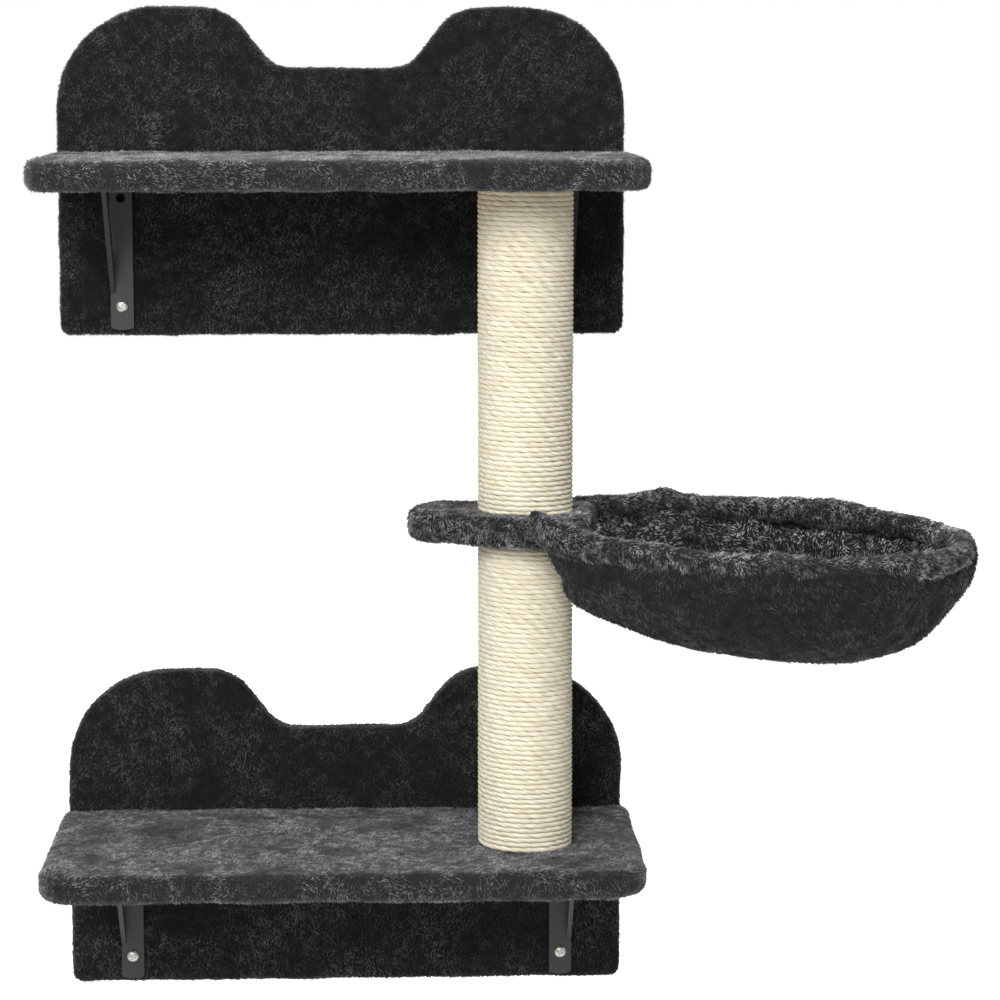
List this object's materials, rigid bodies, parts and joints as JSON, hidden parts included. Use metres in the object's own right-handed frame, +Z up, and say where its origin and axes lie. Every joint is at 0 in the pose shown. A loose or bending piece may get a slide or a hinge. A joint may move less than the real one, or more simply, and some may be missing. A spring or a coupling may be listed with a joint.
{
  "type": "wall mounted cat tree",
  "caption": "Plush covered wall shelves with ear shaped back boards on steel brackets, joined by a rope wound post that carries a swivelling hammock.",
  "frame": {"origin": "middle of the four wall screw holes, on the wall's surface", "axes": "+Z up, +X to the right as seen from the room, +Y into the wall, so the tree stands in -Y"},
  "size_m": [0.7905, 0.339, 0.879],
  "materials": {
    "board": "raw board, hidden under the plush",
    "plush": "charcoal grey short pile plush",
    "bracket_black": "black powder coat, slightly glossy",
    "zinc": "bright zinc plated screws, bolts and nuts",
    "tube": "spiral wound cardboard tube",
    "plug": "moulded end plug",
    "sisal": "natural cream sisal rope, wound tight",
    "wire": "coated steel wire"
  },
  "bodies": {
    "frame": {"upper_wall_board": "board", "upper_wall_board_cover": "plush", "upper_shelf_board": "board", "upper_shelf_cover": "plush", "upper_left_bracket": "bracket_black", "upper_right_bracket": "bracket_black", "upper_leg_screws": "zinc", "upper_shelf_screws": "zinc", "upper_post_tube": "tube", "upper_post_rope": "sisal", "upper_post_bottom_plug": "plug", "upper_post_top_plug": "plug", "lower_wall_board": "board", "lower_wall_board_cover": "plush", "lower_shelf_board": "board", "lower_shelf_cover": "plush", "lower_left_bracket": "bracket_black", "lower_right_bracket": "bracket_black", "lower_leg_screws": "zinc", "lower_shelf_screws": "zinc", "lower_post_tube": "tube", "lower_post_rope": "sisal", "lower_post_bottom_plug": "plug", "lower_post_top_plug": "plug", "post_nuts": "zinc", "joining_stud": "zinc", "lower_post_bolt": "zinc", "lower_post_washer": "zinc", "upper_post_bolt": "zinc"},
    "hammock": {"hammock_plate": "board", "hammock_plate_cover": "plush", "hammock_hoop": "wire", "hoop_lock_screws": "zinc", "hammock_rim_casing": "plush", "hammock_pouch": "plush"}
  },
  "joints": [
    {"name": "hammock_swivel", "type": "hinge", "parent": "frame", "child": "hammock", "pos_m": [0.156, -0.148, 0.0228], "axis": [0, 0, 1], "range_deg": [-165, 6]}
  ]
}
